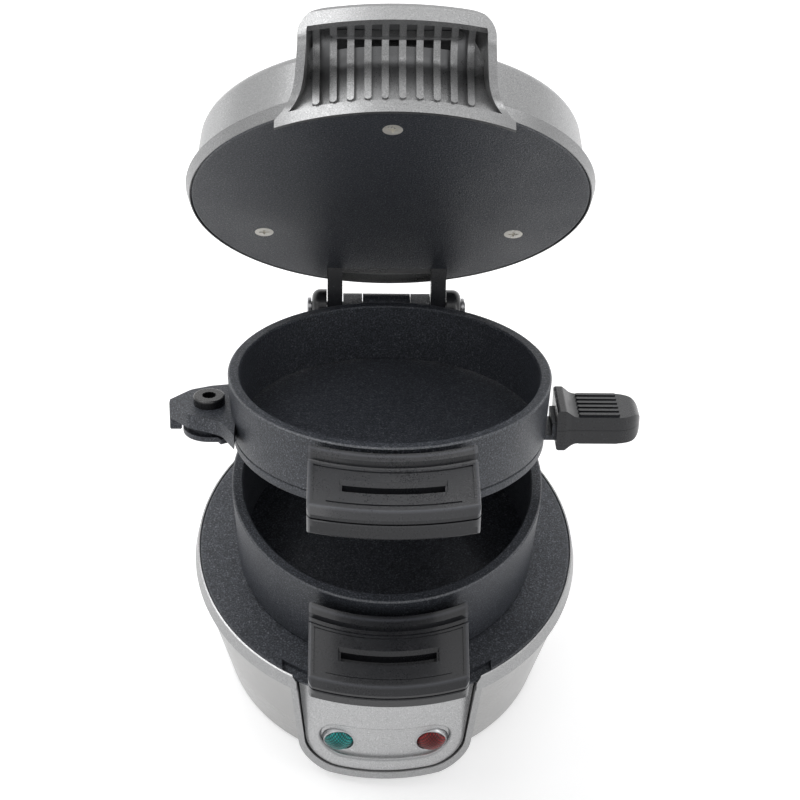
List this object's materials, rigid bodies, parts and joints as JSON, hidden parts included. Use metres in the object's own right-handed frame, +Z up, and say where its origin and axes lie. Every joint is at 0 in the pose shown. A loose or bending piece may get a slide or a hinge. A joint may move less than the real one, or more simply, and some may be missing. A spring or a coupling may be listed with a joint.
{
  "type": "breakfast sandwich maker",
  "caption": "Countertop sandwich cooker: heated base, hinged stacked rings, swinging egg plate and a heated lid, all opening on one rear hinge.",
  "frame": {"origin": "on the surface it stands on, under the middle of the opened appliance's bounding box; the base's own axis stands at x -5.7 mm, y -6.8 mm", "axes": "+Z up, front of the appliance towards -Y, swinging plate's grip towards +X, hinge pin along X at the rear"},
  "size_m": [0.1611, 0.1823, 0.2661],
  "materials": {
    "nonstick_cast": "cast, dark non-stick coating with a fine sparkle",
    "satin_steel": "satin sheet",
    "silver_paint": "silver paint with fine flakes, satin",
    "black_plastic": "moulded, half gloss",
    "black_rubber": "matt",
    "hinge_steel": "plated",
    "screw_steel": "yellowish plating",
    "heater_tube": "oxidised tube",
    "cast_frame": "mill finish",
    "sensor": "moulded",
    "lens_green": "clear tinted, faceted inside",
    "lens_red": "clear tinted, faceted inside",
    "lamp_glass": "small glow lamp"
  },
  "bodies": {
    "base": {"base_shell": "satin_steel", "trim_band": "silver_paint", "front_panel": "silver_paint", "preheat_lens": "lens_green", "power_lens": "lens_red", "indicator_lamps": "lamp_glass", "lower_heating_plate": "nonstick_cast", "lower_heating_element": "heater_tube", "thermostat": "sensor", "thermal_fuse": "hinge_steel", "bottom_cover": "black_plastic", "rubber_feet": "black_rubber", "base_screws": "hinge_steel", "hinge_tower": "black_plastic", "tower_screws": "hinge_steel", "hinge_pin": "hinge_steel", "pin_clip": "hinge_steel", "cord_gland": "black_rubber"},
    "bottom_ring": {"bottom_ring": "nonstick_cast", "bottom_handle_cover": "black_plastic", "bottom_handle_base": "black_plastic", "bottom_handle_screws": "hinge_steel"},
    "top_ring": {"top_ring": "nonstick_cast", "top_handle_cover": "black_plastic", "top_handle_base": "black_plastic", "top_handle_screws": "hinge_steel", "pivot_screw": "nonstick_cast", "pivot_nut": "hinge_steel"},
    "cooking_plate": {"cooking_plate": "nonstick_cast", "plate_handle_upper": "black_plastic", "plate_handle_lower": "black_plastic", "plate_handle_screw": "hinge_steel"},
    "lid": {"lid_shell": "satin_steel", "lid_band": "silver_paint", "lid_handle": "silver_paint", "lid_handle_screws": "hinge_steel", "upper_heating_plate": "nonstick_cast", "upper_plate_screws": "screw_steel", "upper_heating_element": "heater_tube", "lid_frame": "cast_frame", "lid_hinge": "black_plastic", "lid_hinge_screws": "hinge_steel"}
  },
  "joints": [
    {"name": "bottom_ring_hinge", "type": "hinge", "parent": "base", "child": "bottom_ring", "pos_m": [-0.0057, 0.0627, 0.1077], "axis": [-1, 0, 0], "range_deg": [0, 20]},
    {"name": "top_ring_hinge", "type": "hinge", "parent": "bottom_ring", "child": "top_ring", "pos_m": [-0.0057, 0.0627, 0.1077], "axis": [-1, 0, 0], "range_deg": [-20.25, 8]},
    {"name": "lid_hinge", "type": "hinge", "parent": "top_ring", "child": "lid", "pos_m": [-0.0057, 0.0627, 0.1077], "axis": [-1, 0, 0], "range_deg": [-48.55, 12]},
    {"name": "cooking_plate_swing", "type": "hinge", "parent": "top_ring", "child": "cooking_plate", "pos_m": [-0.0672, -0.00634, 0.12368], "axis": [0, 0.3461, 0.9382], "range_deg": [-100, 0]}
  ]
}
